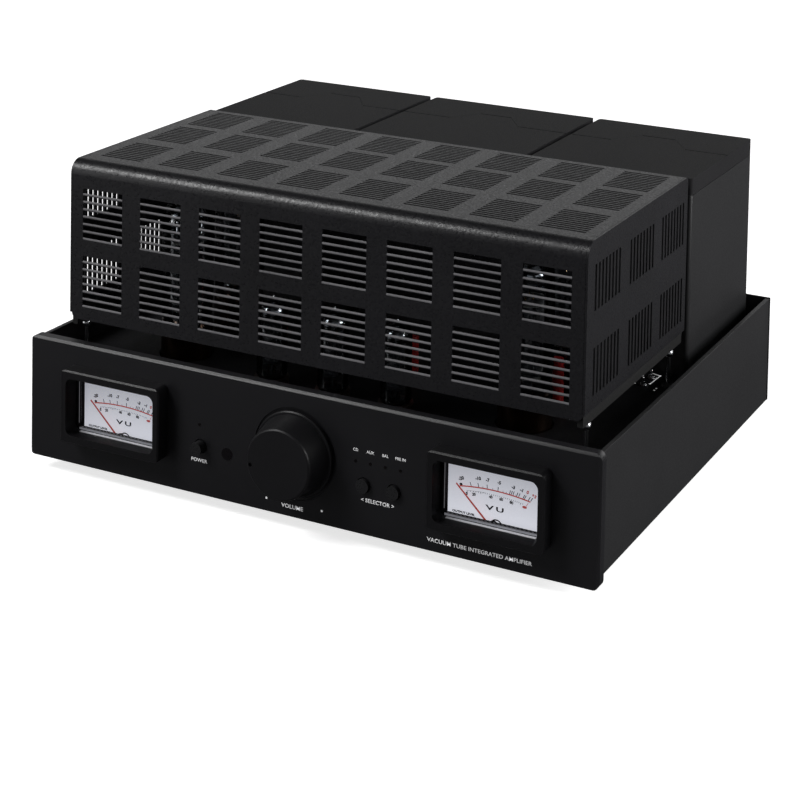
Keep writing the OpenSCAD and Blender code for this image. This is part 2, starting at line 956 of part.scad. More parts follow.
// Bases of the power tubes
module power_tube_bases() {
    color([0.32, 0.16, 0.08])
        for (p = power_spots)
            translate([p[0], p[1], deck_z - 9])
                union() {
                    rotate_extrude()
                        polygon([[0, 0], [17.6, 0], [18.3, 0.8], [18.3, 32], [17.7, 34], [0, 34]]);
                    bar_z(0, 0, 3.9, -9, 0.5);
                }
}

// Glass of the power tubes
module power_tube_glass() {
    h = power_tube_h;
    color([0.9, 0.92, 0.95, 0.35])
        for (p = power_spots)
            translate([p[0], p[1], deck_z])
                rotate_extrude()
                    polygon([[15.2, 25], [16.2, 25], [17.6, 29], [18.4, 40], [18.4, h - 16], [17.2, h - 8],
                        [13.5, h - 2.6], [7.5, h - 0.3], [0, h], [0, h - 1.2], [7, h - 1.5], [12.7, h - 3.6],
                        [16.1, h - 8.6], [17.2, h - 16], [17.2, 40], [16.4, 29.4]]);
}

// Plates and spacers inside the power tubes
module power_tube_plates() {
    color([0.25, 0.25, 0.26])
        for (p = power_spots)
            translate([p[0], p[1], deck_z])
                union() {
                    bar_z(0, 0, 5, 25, 34);
                    bar_z(0, 0, 13.5, 34, 35);
                    block([-10, -6.5, 35], [10, 6.5, 82]);
                    bar_z(0, 0, 13.5, 82, 83);
                    bar_z(0, 0, 1, 83, 92);
                    bar_z(0, 0, 7, 92, 93);
                }
}

// Glass of the small tubes
module small_tube_glass() {
    h = small_tube_h;
    color([0.9, 0.92, 0.95, 0.35])
        for (p = small_spots)
            translate([p[0], p[1], deck_z])
                rotate_extrude()
                    polygon([[0, 6], [9.4, 6], [10.5, 8], [10.5, h - 9], [9, h - 5.5], [4, h - 3.5],
                        [1.6, h - 2.6], [0.9, h], [0, h], [0, h - 4.6], [3.6, h - 4.7], [8, h - 6.4],
                        [9.5, h - 9.2], [9.5, 8.4], [8.8, 7.4], [0, 7.4]]);
}

// Plates inside the small tubes
module small_tube_plates() {
    color([0.28, 0.28, 0.29])
        for (p = small_spots)
            translate([p[0], p[1], deck_z])
                union() {
                    bar_z(0, 0, 0.6, 7.4, 16);
                    bar_z(0, 0, 8.6, 16, 16.8);
                    block([-6, -3.5, 16.8], [6, 3.5, 44]);
                    bar_z(0, 0, 8.6, 44, 44.8);
                }
}

// Sockets of all the tubes
module tube_sockets() {
    color([0.75, 0.72, 0.66])
        union() {
            for (p = power_spots)
                translate([p[0], p[1], 0])
                    difference() {
                        union() {
                            bar_z(0, 0, 25, deck_z - 11, deck_z - 9);
                            bar_z(0, 0, 13.9, deck_z - 20, deck_z - 11);
                            for (sx = [-1, 1])
                                bar_z(sx * 22.2, 0, 2, deck_z - 9, deck_z - deck_t);
                        }
                        bar_z(0, 0, 4, deck_z - 21, deck_z - 8);
                    }
            for (p = small_spots)
                translate([p[0], p[1], 0])
                    union() {
                        bar_z(0, 0, 12, deck_z, deck_z + 6);
                        bar_z(0, 0, 8.9, deck_z - 10, deck_z);
                    }
        }
}

// Small switches let into the deck near its right edge
module toggle_bodies() {
    color([0.6, 0.6, 0.62])
        for (ty = toggle_ys)
            translate([toggle_x, ty, 0])
                difference() {
                    union() {
                        bar_z(0, 0, 2.35, deck_z - 3, deck_z + 2);
                        block([-3.5, -6, deck_z - 14], [3.5, 6, deck_z - deck_t]);
                        bar_z(0, 0, 3.6, deck_z, deck_z + 0.8);
                    }
                    bar_z(0, 0, 1.9, deck_z - 4, deck_z + 3);
                }
}

// Lever of a small switch, tipped to the front
module toggle_lever(i) {
    color([0.8, 0.8, 0.82])
        translate([toggle_x, toggle_ys[i], deck_z - 1])
            rotate([10, 0, 0])
                union() {
                    sphere(1.3);
                    rotate([0, 90, 0])
                        cylinder(h = 3.4, r = 0.6, center = true);
                    cylinder(h = 6.6, r = 0.75);
                    translate([0, 0, 6.6])
                        sphere(1);
                }
}

module toggle_lever_front() {
    toggle_lever(0);
}

module toggle_lever_rear() {
    toggle_lever(1);
}

// Main circuit board
module main_board() {
    color([0.05, 0.25, 0.1])
        along_z(board_z, board_z + 1.6)
            difference() {
                translate([-150, yf + 48])
                    square([300, 140]);
                for (sx = [-1, 1], py = [yf + 56, yf + 180])
                    translate([sx * 142, py])
                        circle(1.6);
            }
}

// Posts between the bottom cover and the board
module board_standoffs() {
    color([0.75, 0.6, 0.3])
        for (sx = [-1, 1], py = [yf + 56, yf + 180])
            translate([sx * 142, py, 0])
                union() {
                    bar_z(0, 0, 3, fz + side_lift + 1.5, board_z);
                    bar_z(0, 0, 1.55, board_z - 1, board_z + 3);
                }
}

// Can capacitors on the board
module board_capacitors() {
    color([0.08, 0.1, 0.2])
        for (cx = [-100, -60, 60, 100], cy = [yf + 84, yf + 164])
            bar_z(cx, cy, 12.5, board_z + 1.6, board_z + 30);
}

// Upright capacitors on the deck between the tubes
module coupling_capacitors() {
    color([0.55, 0.07, 0.06])
        for (p = cap_spots)
            translate([p[0], p[1], 0])
                rotate_extrude()
                    polygon([[0, deck_z], [4.1, deck_z], [4.6, deck_z + 0.7], [4.6, deck_z + 33.3],
                        [4.1, deck_z + 34], [0, deck_z + 34]]);
}

// Coaxial input jacks
module input_jacks() {
    color([0.8, 0.65, 0.3])
        for (jx = jack_x, jz = jack_z)
            difference() {
                union() {
                    bar_y(jx, jz, 4.15, rear_y, rear_y + 10.5);
                    bar_y(jx, jz, 5.1, yb - 6, rear_y);
                    bar_y(jx, jz, 6.4, rear_y, rear_y + 1.5);
                }
                bar_y(jx, jz, 1.7, rear_y + 0.5, rear_y + 12);
            }
}

// Loudspeaker posts
module speaker_posts() {
    color([0.8, 0.65, 0.3])
        for (px = post_x)
            difference() {
                union() {
                    bar_y(px, post_z, 3.4, yb - 14, rear_y);
                    bar_y(px, post_z, 7.5, rear_y, rear_y + 4);
                    bar_y(px, post_z, 3.2, rear_y + 4, rear_y + rear_out);
                }
                bar_y(px, post_z, 2.05, rear_y + 8, rear_y + rear_out + 1);
            }
}

// Turned caps on the loudspeaker posts
module speaker_caps() {
    color([0.06, 0.06, 0.06])
        for (px = post_x)
            difference() {
                union() {
                    bar_y(px, post_z, 7, rear_y + 6, rear_y + rear_out - 1.5);
                    for (a = [0:30:330])
                        translate([px, 0, post_z])
                            rotate([0, a, 0])
                                bar_y(6.7, 0, 0.8, rear_y + 9, rear_y + rear_out - 3);
                }
                bar_y(px, post_z, 3.2, rear_y + 5, rear_y + rear_out);
            }
}

// Mains inlet with its three blades
module mains_inlet() {
    color([0.04, 0.04, 0.04])
        union() {
            difference() {
                union() {
                    block([inlet_x - 12, yb - 18, fz + 26], [inlet_x + 12, rear_y, fz + 46]);
                    block([inlet_x - 15, rear_y, fz + 22], [inlet_x + 15, rear_y + 3, fz + 50]);
                }
                block([inlet_x - 10, yb - 14, fz + 28.5], [inlet_x + 10, rear_y + 4, fz + 43.5]);
            }
            for (dx = [-6, 0, 6])
                block([inlet_x + dx - 1, yb - 15, fz + (dx == 0 ? 37 : 32)],
                    [inlet_x + dx + 1, rear_y + 1, fz + (dx == 0 ? 41 : 36)]);
        }
}

// Screws that hold the rear panel
module rear_screws() {
    color([0.15, 0.15, 0.16])
        for (sx = [-1, 1], sz = screw_z)
            union() {
                bar_y(sx * 202, sz, 1.55, yb - 8, rear_y);
                bar_y(sx * 202, sz, 3, rear_y, rear_y + 1.8);
            }
}
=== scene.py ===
import math

import bmesh
import bpy
from mathutils import Matrix, Vector


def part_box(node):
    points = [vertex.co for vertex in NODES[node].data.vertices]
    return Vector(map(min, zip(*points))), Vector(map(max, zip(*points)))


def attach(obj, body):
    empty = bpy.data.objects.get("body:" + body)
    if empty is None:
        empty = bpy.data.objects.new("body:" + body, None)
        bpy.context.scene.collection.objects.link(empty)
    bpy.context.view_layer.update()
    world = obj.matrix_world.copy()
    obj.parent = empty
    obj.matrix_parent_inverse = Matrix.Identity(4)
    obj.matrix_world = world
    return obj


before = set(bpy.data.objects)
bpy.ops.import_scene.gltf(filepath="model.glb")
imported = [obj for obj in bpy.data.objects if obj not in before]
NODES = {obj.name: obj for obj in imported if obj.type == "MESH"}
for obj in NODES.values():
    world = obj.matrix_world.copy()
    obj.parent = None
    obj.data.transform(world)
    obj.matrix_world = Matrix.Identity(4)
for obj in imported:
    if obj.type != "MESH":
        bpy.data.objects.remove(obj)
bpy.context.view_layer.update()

MM = 0.001

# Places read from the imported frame, in metres
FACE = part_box("faceplate")
YF = FACE[0].y                                  # front plane of the faceplate
FZ = FACE[0].z                                  # its bottom edge
BEZEL = {s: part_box("meter_bezel_" + s) for s in ("left", "right")}
DIAL = {s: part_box("meter_dial_" + s) for s in ("left", "right")}


def centre(b):
    return (b[0] + b[1]) / 2


# ---------------------------------------------------------------- materials

def new_mat(name):
    m = bpy.data.materials.new(name)
    m.use_nodes = True
    m.node_tree.nodes.clear()
    return m, m.node_tree.nodes, m.node_tree.links


def noise(n, l, co, scale, detail=3.0, rough=0.6):
    t = n.new("ShaderNodeTexNoise")
    t.inputs["Scale"].default_value = scale
    t.inputs["Detail"].default_value = detail
    t.inputs["Roughness"].default_value = rough
    l.new(co, t.inputs["Vector"])
    return t.outputs["Fac"]


def ramp(n, l, fac, a, b, va, vb):
    r = n.new("ShaderNodeMapRange")
    r.inputs["From Min"].default_value = a
    r.inputs["From Max"].default_value = b
    r.inputs["To Min"].default_value = va
    r.inputs["To Max"].default_value = vb
    l.new(fac, r.inputs["Value"])
    return r.outputs["Result"]


def mix(n, l, fac, a, b):
    m = n.new("ShaderNodeMix")
    m.data_type = "RGBA"
    if isinstance(fac, float):
        m.inputs[0].default_value = fac
    else:
        l.new(fac, m.inputs[0])
    for s, c in ((m.inputs[6], a), (m.inputs[7], b)):
        if isinstance(c, (tuple, list)):
            s.default_value = (*c[:3], 1)
        else:
            l.new(c, s)
    return m.outputs[2]


def finish_mat(name, base, rough, metal=0.0, grain=900, bump=0.12, vary=0.15, rvary=0.08, edge=0.0,
               edge_col=(0.25, 0.25, 0.26), coat=0.0, stretch=None, spec=0.5, dust=0.0, blotch=14,
               radius=0.0006, emit=0.0):
    """Painted, moulded or turned surface: colour drift, grain, lighter edges that are part wear and part painted
    highlight, and settled dust, all from nodes.
    """
    m, n, l = new_mat(name)
    out = n.new("ShaderNodeOutputMaterial")
    p = n.new("ShaderNodeBsdfPrincipled")
    l.new(p.outputs[0], out.inputs[0])
    tc = n.new("ShaderNodeTexCoord")
    co = tc.outputs["Object"]
    if stretch:
        mp = n.new("ShaderNodeMapping")
        mp.inputs["Scale"].default_value = stretch
        l.new(co, mp.inputs["Vector"])
        gco = mp.outputs[0]
    else:
        gco = co
    big = noise(n, l, co, blotch, 4)
    fine = noise(n, l, gco, grain, 3)
    lo = [max(0.0, c * (1 - vary)) for c in base]
    hi = [min(1.0, c * (1 + vary)) for c in base]
    col = mix(n, l, ramp(n, l, big, 0.3, 0.7, 0, 1), lo, hi)
    col = mix(n, l, ramp(n, l, fine, 0.35, 0.75, 0, 0.35), col, [min(1.0, c * (1 + 2 * vary)) for c in base])
    rr = ramp(n, l, fine, 0.3, 0.7, rough - rvary, rough + rvary)
    # Lighter colour along the edges: part wear, part painted highlight.
    if edge > 0:
        bv = n.new("ShaderNodeBevel")
        bv.samples = 4
        bv.inputs["Radius"].default_value = radius
        geo = n.new("ShaderNodeNewGeometry")
        dot = n.new("ShaderNodeVectorMath")
        dot.operation = "DOT_PRODUCT"
        l.new(bv.outputs[0], dot.inputs[0])
        l.new(geo.outputs["Normal"], dot.inputs[1])
        edge_wear_and_highlight = ramp(n, l, dot.outputs["Value"], 0.995, 0.8, 0, edge)
        patch = ramp(n, l, noise(n, l, co, 60, 5), 0.45, 0.65, 0.25, 1)
        mu = n.new("ShaderNodeMath")
        mu.operation = "MULTIPLY"
        l.new(edge_wear_and_highlight, mu.inputs[0])
        l.new(patch, mu.inputs[1])
        col = mix(n, l, mu.outputs[0], col, edge_col)
    if dust > 0:
        geo2 = n.new("ShaderNodeNewGeometry")
        sep = n.new("ShaderNodeSeparateXYZ")
        l.new(geo2.outputs["Normal"], sep.inputs[0])
        up = ramp(n, l, sep.outputs[2], 0.6, 1.0, 0, dust)
        dn = ramp(n, l, noise(n, l, co, 160, 6, 0.7), 0.4, 0.8, 0.2, 1)
        mu2 = n.new("ShaderNodeMath")
        mu2.operation = "MULTIPLY"
        l.new(up, mu2.inputs[0])
        l.new(dn, mu2.inputs[1])
        col = mix(n, l, mu2.outputs[0], col, (0.3, 0.29, 0.28))
    l.new(col, p.inputs["Base Color"])
    l.new(rr, p.inputs["Roughness"])
    p.inputs["Metallic"].default_value = metal
    p.inputs["Specular IOR Level"].default_value = spec
    p.inputs["IOR"].default_value = 1.45
    p.inputs["Coat Weight"].default_value = coat
    p.inputs["Coat Roughness"].default_value = 0.12
    if emit > 0:
        l.new(col, p.inputs["Emission Color"])
        p.inputs["Emission Strength"].default_value = emit
    if bump > 0:
        b = n.new("ShaderNodeBump")
        b.inputs["Strength"].default_value = bump
        b.inputs["Distance"].default_value = 0.0002
        l.new(fine, b.inputs["Height"])
        l.new(b.outputs[0], p.inputs["Normal"])
    return m


M = {}
M["face"] = finish_mat("satin_black_front", (0.0088, 0.0085, 0.0102), 0.40, grain=1500, bump=0.10, edge=0.35,
                       edge_col=(0.10, 0.10, 0.11), rvary=0.05)
M["chassis"] = finish_mat("powder_black_chassis", (0.018, 0.018, 0.019), 0.46, grain=1100, bump=0.2, edge=0.3,
                          edge_col=(0.08, 0.08, 0.085), dust=0.05)


def shade_upward_faces(mat, share):
    """Multiplies the colour of the faces that look upwards; with a share below one this is painted shade on the tops.
    """
    n, l = mat.node_tree.nodes, mat.node_tree.links
    p = next(x for x in n if x.type == "BSDF_PRINCIPLED")
    col = p.inputs["Base Color"].links[0].from_socket
    geo = n.new("ShaderNodeNewGeometry")
    sep = n.new("ShaderNodeSeparateXYZ")
    l.new(geo.outputs["Normal"], sep.inputs[0])
    m = n.new("ShaderNodeVectorMath")
    m.operation = "SCALE"
    l.new(col, m.inputs[0])
    l.new(ramp(n, l, sep.outputs[2], 0.8, 0.97, 1.0, share), m.inputs["Scale"])
    l.new(m.outputs[0], p.inputs["Base Color"])
    return mat


M["deck"] = finish_mat("powder_black_deck", (0.006, 0.006, 0.007), 0.6, grain=1100, bump=0.22, dust=0.02, spec=0.1)
# The cage's and the lids' upward faces are darkened: painted shade on their tops.
M["cage"] = shade_upward_faces(finish_mat("powder_black_cage", (0.0088, 0.0085, 0.0102), 0.36, grain=620, bump=0.75,
                               rvary=0.13, vary=0.3), 0.45)
M["can"] = finish_mat("powder_black_can", (0.018, 0.018, 0.019), 0.46, grain=1050, bump=0.25, edge=0.25,
                      edge_col=(0.08, 0.08, 0.085))
M["lid"] = shade_upward_faces(finish_mat("satin_black_lid", (0.022, 0.0215, 0.023), 0.55, grain=1300, bump=0.2, edge=0.25,
                              edge_col=(0.08, 0.08, 0.085), spec=0.12), 0.24)
M["rail"] = finish_mat("matt_black_rail", (0.006, 0.006, 0.006), 0.6, grain=700, bump=0.2)
M["rubber"] = finish_mat("soft_rubber", (0.02, 0.02, 0.02), 0.75, grain=500, bump=0.3)
M["foot"] = finish_mat("moulded_foot", (0.018, 0.018, 0.018), 0.5, grain=800, bump=0.2)
M["bezel"] = finish_mat("moulded_bezel", (0.0062, 0.006, 0.007), 0.40, grain=1300, bump=0.12, edge=0.35,
                        edge_col=(0.09, 0.09, 0.095), radius=0.0005, spec=0.35)
M["case"] = finish_mat("matt_case", (0.01, 0.01, 0.011), 0.5, grain=900, bump=0.15)
M["knob"] = finish_mat("turned_knob", (0.0095, 0.0092, 0.0105), 0.38, metal=0.0, grain=2200, bump=0.12, edge=0.06,
                       edge_col=(0.07, 0.07, 0.075), radius=0.0005, stretch=(1, 0.05, 1), spec=0.35)
M["button"] = finish_mat("satin_button", (0.014, 0.014, 0.015), 0.3, grain=1800, bump=0.06, edge=0.4,
                         edge_col=(0.14, 0.14, 0.145), radius=0.0004)
M["zinc"] = finish_mat("zinc_sheet", (0.42, 0.42, 0.43), 0.38, metal=1.0, grain=260, bump=0.1, vary=0.2,
                       stretch=(1, 8, 8))
M["screw"] = finish_mat("zinc_screw", (0.5, 0.5, 0.52), 0.3, metal=1.0, grain=1500, bump=0.15)
M["screw_black"] = finish_mat("black_screw", (0.03, 0.03, 0.032), 0.35, metal=0.6, grain=1500, bump=0.15, edge=0.5)
M["chrome"] = finish_mat("polished_pin", (0.72, 0.73, 0.75), 0.12, metal=1.0, grain=1200, bump=0.03,
                         vary=0.05, rvary=0.03)
M["steel"] = finish_mat("turned_steel", (0.55, 0.55, 0.56), 0.25, metal=1.0, grain=2500, bump=0.1,
                        stretch=(1, 0.1, 1))
M["gold"] = finish_mat("gold_plate", (0.85, 0.62, 0.25), 0.18, metal=1.0, grain=1600, bump=0.06, vary=0.06,
                       rvary=0.05)
M["brass"] = finish_mat("brass_post", (0.7, 0.5, 0.22), 0.3, metal=1.0, grain=1400, bump=0.08)
M["pcb"] = finish_mat("green_board", (0.01, 0.09, 0.03), 0.35, grain=500, bump=0.1, coat=0.4)
M["cap"] = finish_mat("capacitor_sleeve", (0.012, 0.014, 0.05), 0.3, grain=900, bump=0.05, coat=0.3)
M["red_cap"] = finish_mat("red_capacitor", (0.20, 0.008, 0.008), 0.3, grain=500, bump=0.12, coat=0.5)
M["base"] = finish_mat("brown_tube_base", (0.0035, 0.0018, 0.0012), 0.12, grain=700, bump=0.04, vary=0.3, spec=0.5)
next(x for x in M["base"].node_tree.nodes if x.type == "BSDF_PRINCIPLED").inputs["Specular Tint"].default_value = (
    1.0, 0.62, 0.42, 1)
M["plate"] = finish_mat("tube_plate", (0.06, 0.06, 0.062), 0.5, metal=0.7, grain=900, bump=0.2)
M["mica"] = finish_mat("mica_disc", (0.55, 0.52, 0.46), 0.25, grain=300, bump=0.1, coat=0.5)
M["phenolic"] = finish_mat("phenolic_socket", (0.02, 0.012, 0.008), 0.35, grain=600, bump=0.1, coat=0.3)
M["core"] = finish_mat("core_laminations", (0.12, 0.12, 0.13), 0.45, metal=0.8, grain=1200, bump=0.4,
                       stretch=(0.1, 3, 0.1))
M["copper"] = finish_mat("varnished_winding", (0.32, 0.12, 0.03), 0.28, metal=0.6, grain=1400, bump=0.3,
                         stretch=(0.2, 0.2, 3))
M["switch"] = finish_mat("switch_plastic", (0.03, 0.03, 0.033), 0.4, grain=800, bump=0.1)
M["inlet"] = finish_mat("inlet_plastic", (0.015, 0.015, 0.016), 0.42, grain=900, bump=0.15, edge=0.3)
# The needle's and the red print's emission is a painted glow.
M["red_needle"] = finish_mat("needle_paint_painted_glow", (0.85, 0.12, 0.09), 0.4, grain=900, bump=0.02, emit=0.3)
M["lamp_off"] = finish_mat("lamp_smoked", (0.004, 0.003, 0.003), 0.3, grain=900, bump=0.02, spec=0.2)
M["ir"] = finish_mat("dark_red_window", (0.005, 0.004, 0.005), 0.3, grain=400, bump=0.01, spec=0.2)
# White print; its emission is a painted glow.
M["white_print_painted_glow"] = finish_mat("white_print_painted_glow", (0.85, 0.85, 0.86), 0.5, grain=2500, bump=0.05, vary=0.06, emit=0.28)
# Black print, also used as painted shade at the foot of the scales and in the rear screw slots.
M["black_print_and_painted_shade"] = finish_mat("black_print_and_painted_shade", (0.004, 0.004, 0.006), 0.5, grain=2500, bump=0.02, vary=0.05)
M["red_print_painted_glow"] = finish_mat("red_print_painted_glow", (0.85, 0.13, 0.11), 0.5, grain=2500, bump=0.02, vary=0.08, emit=0.3)
M["silver"] = finish_mat("getter_mirror", (0.8, 0.8, 0.82), 0.08, metal=1.0, grain=200, bump=0.02)


def dial_mat():
    """Cool white scale plate with fine paper-like print grain, brightened by a painted glow that only the camera
    sees, with a soft painted shade towards its top edge.
    """
    m = finish_mat("scale_plate", (0.76, 0.75, 0.78), 0.45, grain=1600, bump=0.06, vary=0.03, blotch=30, emit=0.0)
    n, l = m.node_tree.nodes, m.node_tree.links
    p = next(x for x in n if x.type == "BSDF_PRINCIPLED")
    geo = n.new("ShaderNodeNewGeometry")
    sep = n.new("ShaderNodeSeparateXYZ")
    l.new(geo.outputs["Position"], sep.inputs[0])
    low = DIAL["left"][0].z
    # Camera-only glow, weaker higher up: painted light, with painted shade towards the top.
    glow = ramp(n, l, sep.outputs[2], low + 0.046, low + 0.012, 0.38, 0.72)
    lp = n.new("ShaderNodeLightPath")
    seen = n.new("ShaderNodeMath")
    seen.operation = "MULTIPLY"
    l.new(lp.outputs["Is Camera Ray"], seen.inputs[0])
    l.new(glow, seen.inputs[1])
    l.new(seen.outputs[0], p.inputs["Emission Strength"])
    p.inputs["Emission Color"].default_value = (0.93, 0.93, 0.98, 1)
    return m


M["dial"] = dial_mat()


def glass_mat(name, tint, rough=0.01, bumpy=0.0):
    """Thin clear pane: mostly see-through, with a mirror share that grows at shallow angles."""
    m, n, l = new_mat(name)
    out = n.new("ShaderNodeOutputMaterial")
    tr = n.new("ShaderNodeBsdfTransparent")
    tr.inputs[0].default_value = (*tint, 1)
    gl = n.new("ShaderNodeBsdfGlossy")
    gl.inputs["Roughness"].default_value = rough
    fr = n.new("ShaderNodeFresnel")
    fr.inputs["IOR"].default_value = 1.45
    tc = n.new("ShaderNodeTexCoord")
    smudge = ramp(n, l, noise(n, l, tc.outputs["Object"], 45, 5), 0.5, 0.8, rough, rough + 0.12)
    l.new(smudge, gl.inputs["Roughness"])
    if bumpy:
        b = n.new("ShaderNodeBump")
        b.inputs["Strength"].default_value = bumpy
        b.inputs["Distance"].default_value = 0.0005
        l.new(noise(n, l, tc.outputs["Object"], 60, 2), b.inputs["Height"])
        l.new(b.outputs[0], gl.inputs["Normal"])
        l.new(b.outputs[0], fr.inputs["Normal"])
    mx = n.new("ShaderNodeMixShader")
    l.new(fr.outputs[0], mx.inputs[0])
    l.new(tr.outputs[0], mx.inputs[1])
    l.new(gl.outputs[0], mx.inputs[2])
    l.new(mx.outputs[0], out.inputs[0])
    return m


M["pane"] = glass_mat("meter_pane", (0.97, 0.98, 1.0))
M["bulb"] = glass_mat("tube_bulb", (0.93, 0.95, 0.97), 0.01, 0.15)

M["pin"] = finish_mat("cage_pin", (0.6, 0.61, 0.63), 0.18, metal=1.0, grain=1200, bump=0.05, vary=0.1, rvary=0.04)

NODE_MAT = {
    "faceplate": "face", "front_subpanel": "zinc", "deck_plate": "deck", "side_plate_left": "chassis",
    "side_plate_right": "chassis", "rear_panel": "chassis", "bottom_cover": "chassis",
    "corner_brackets": "zinc", "feet": "foot", "foot_pads": "rubber", "meter_bezel_left": "bezel",
    "meter_bezel_right": "bezel", "meter_cases": "case", "meter_dial_left": "dial",
    "meter_dial_right": "dial", "meter_glass_left": "pane", "meter_glass_right": "pane",
    "meter_needle_left": "red_needle", "meter_needle_right": "red_needle", "volume_knob": "knob",
    "volume_shaft": "steel", "volume_pot": "zinc", "power_button": "button", "power_switch": "switch",
    "panel_lamps": "lamp_off", "receiver_window": "ir", "selector_button_left": "button",
    "selector_button_right": "button", "button_board": "pcb", "can_left": "can", "can_centre": "can",
    "can_right": "can", "can_lids": "lid", "transformer_cores": "core", "transformer_windings": "copper",
    "can_screws": "screw", "cage_wrap": "cage", "cage_side_left": "cage", "cage_side_right": "cage",
    "cage_rails": "rail", "cage_pins": "pin", "cage_sockets": "rubber", "power_tube_bases": "base",
    "power_tube_glass": "bulb", "power_tube_plates": "plate", "small_tube_glass": "bulb",
    "small_tube_plates": "plate", "tube_sockets": "phenolic", "toggle_bodies": "steel",
    "toggle_lever_front": "chrome", "toggle_lever_rear": "chrome", "main_board": "pcb",
    "board_standoffs": "brass", "board_capacitors": "cap", "coupling_capacitors": "red_cap",
    "input_jacks": "gold", "speaker_posts": "gold", "speaker_caps": "switch", "mains_inlet": "inlet",
    "rear_screws": "screw_black"}
for node_name, mat_name in NODE_MAT.items():
    o = NODES[node_name]
    o.data.materials.clear()
    o.data.materials.append(M[mat_name])


# ---------------------------------------------------------------- softened CAD edges

def soften(name, width, segments=2, angle=28):
    """Rounds a CAD node's hard edges a little, as a modifier, so they catch the light."""
    o = NODES[name]
    w = o.modifiers.new("weld", "WELD")
    w.merge_threshold = 0.00002
    b = o.modifiers.new("soft_edges", "BEVEL")
    b.width = width * MM
    b.segments = segments
    b.limit_method = "ANGLE"
    b.angle_limit = math.radians(angle)
    b.harden_normals = False
    b.use_clamp_overlap = True
    b.miter_outer = "MITER_ARC"


SOFT_EDGES = {
    "faceplate": 0.35, "side_plate_left": 0.4, "side_plate_right": 0.4, "rear_panel": 0.3, "can_left": 0.3,
    "can_centre": 0.3, "can_right": 0.3, "meter_bezel_left": 0.45, "meter_bezel_right": 0.45}
for node_name, width in SOFT_EDGES.items():
    soften(node_name, width)


# ---------------------------------------------------------------- flat print

class Print:
    """Collects flat shapes drawn in (x, z) millimetres about a point and turns them into one thin piece."""

    def __init__(self, name, y, cx=0.0, cz=0.0, face=-1):
        self.name, self.y, self.cx, self.cz, self.face = name, y, cx, cz, face
        self.bm = bmesh.new()

    def place(self, x, z):
        return Vector((self.cx + self.face * -1 * x * MM, self.y, self.cz + z * MM))

    def quad(self, pts):
        vs = [self.bm.verts.new(self.place(*p)) for p in pts]
        self.bm.faces.new(vs)

    def line(self, x0, z0, x1, z1, w):
        d = Vector((x1 - x0, z1 - z0))
        n = Vector((-d.y, d.x)).normalized() * w / 2
        self.quad([(x0 + n.x, z0 + n.y), (x1 + n.x, z1 + n.y), (x1 - n.x, z1 - n.y), (x0 - n.x, z0 - n.y)])

    def arc(self, cx, cz, r, a0, a1, w, steps=40):
        """Ribbon along a circle; angles are clockwise from straight up, in degrees."""
        ring = []
        for i in range(steps + 1):
            a = math.radians(a0 + (a1 - a0) * i / steps)
            ring.append([(cx + (r + s * w / 2) * math.sin(a), cz + (r + s * w / 2) * math.cos(a)) for s in (-1, 1)])
        for p, q in zip(ring, ring[1:]):
            self.quad([p[0], p[1], q[1], q[0]])

    def disc(self, x, z, rx, rz=None, steps=20):
        rz = rz or rx
        self.quad([(x + rx * math.cos(2 * math.pi * i / steps), z + rz * math.sin(2 * math.pi * i / steps))
                   for i in range(steps)])

    def text(self, s, x, z, size, angle=0.0, align="CENTER", stretch=1.0, bold=0.0):
        cu = bpy.data.curves.new("t", "FONT")
        cu.body = s
        cu.size = size * MM * 1.39
        cu.align_x = align
        cu.align_y = "CENTER"
        cu.offset = bold * MM
        cu.resolution_u = 3
        ob = bpy.data.objects.new("t", cu)
        bpy.context.scene.collection.objects.link(ob)
        dg = bpy.context.evaluated_depsgraph_get()
        me = bpy.data.meshes.new_from_object(ob.evaluated_get(dg))
        a = math.radians(-angle)
        for v in me.vertices:
            tx, tz = v.co.x / MM * stretch, v.co.y / MM
            v.co = self.place(x + tx * math.cos(a) - tz * math.sin(a), z + tx * math.sin(a) + tz * math.cos(a))
        self.bm.from_mesh(me)
        bpy.data.objects.remove(ob)
        bpy.data.meshes.remove(me)
        bpy.data.curves.remove(cu)

    def done(self, mat, body="chassis", thick=0.02):
        bm = self.bm
        bmesh.ops.remove_doubles(bm, verts=bm.verts, dist=1e-7)
        bmesh.ops.recalc_face_normals(bm, faces=bm.faces)
        want = Vector((0, self.face, 0))
        for f in bm.faces:
            f.normal_update()
            if f.normal.dot(want) < 0:
                f.normal_flip()
        ext = bmesh.ops.extrude_face_region(bm, geom=list(bm.faces))
        for g in ext["geom"]:
            if isinstance(g, bmesh.types.BMVert):
                g.co.y += self.face * thick * MM
        me = bpy.data.meshes.new(self.name)
        bm.to_mesh(me)
        bm.free()
        me.materials.append(M[mat])
        ob = bpy.data.objects.new(self.name, me)
        bpy.context.scene.collection.objects.link(ob)
        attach(ob, body)
        return ob


def fz(z):
    return FZ / MM + z


# Legends on the front plate; heights are above its bottom edge
p = Print("front_legends", YF)
p.text("VOLUME", -1.2, fz(6.8), 2.7, stretch=1.12, bold=0.06)
p.text("POWER", -74, fz(23.5), 2.4, stretch=1.1, bold=0.06)
for label, x in (("CD", 45.4), ("AUX", 56.2), ("BAL", 67.1), ("PRE IN", 78.0)):
    p.text(label, x, fz(55), 1.9, bold=0.05)
p.text("< SELECTOR >", 62, fz(23), 2.6, stretch=1.05, bold=0.06)
p.text("VACUUM TUBE INTEGRATED AMPLIFIER", 98, fz(7.4), 2.6, align="LEFT", stretch=1.12, bold=0.05)
for x in (-21, 21):
    p.disc(x, fz(9), 0.75)
p.done("white_print_painted_glow")

